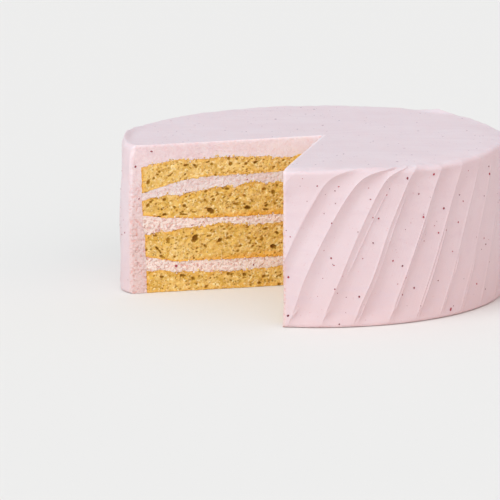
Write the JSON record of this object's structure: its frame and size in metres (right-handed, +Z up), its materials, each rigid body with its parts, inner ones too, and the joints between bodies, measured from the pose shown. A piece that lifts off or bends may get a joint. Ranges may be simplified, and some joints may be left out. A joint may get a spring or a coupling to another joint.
{
  "type": "layer cake",
  "caption": "Round layer cake in pink buttercream with slanting knife strokes round its side and a flat top, one slice taken out to show the sponge and filling layers.",
  "frame": {"origin": "centre of the round cake on the plane of its base", "axes": "+Z up along the cake's axis; the missing slice lies towards -X and -Y, and the cut face that looks towards -Y is the one on the -X side"},
  "size_m": [0.24, 0.24, 0.0953],
  "materials": {
    "sponge": "open golden crumb, dry and matte",
    "filling": "soft buttercream, cut with a knife",
    "buttercream": "smooth pale pink buttercream with red fruit flecks"
  },
  "bodies": {
    "root": {"sponge_1": "sponge", "filling_1": "filling", "sponge_2": "sponge", "filling_2": "filling", "sponge_3": "sponge", "filling_3": "filling", "sponge_4": "sponge", "frosting_coat": "buttercream"}
  },
  "joints": []
}
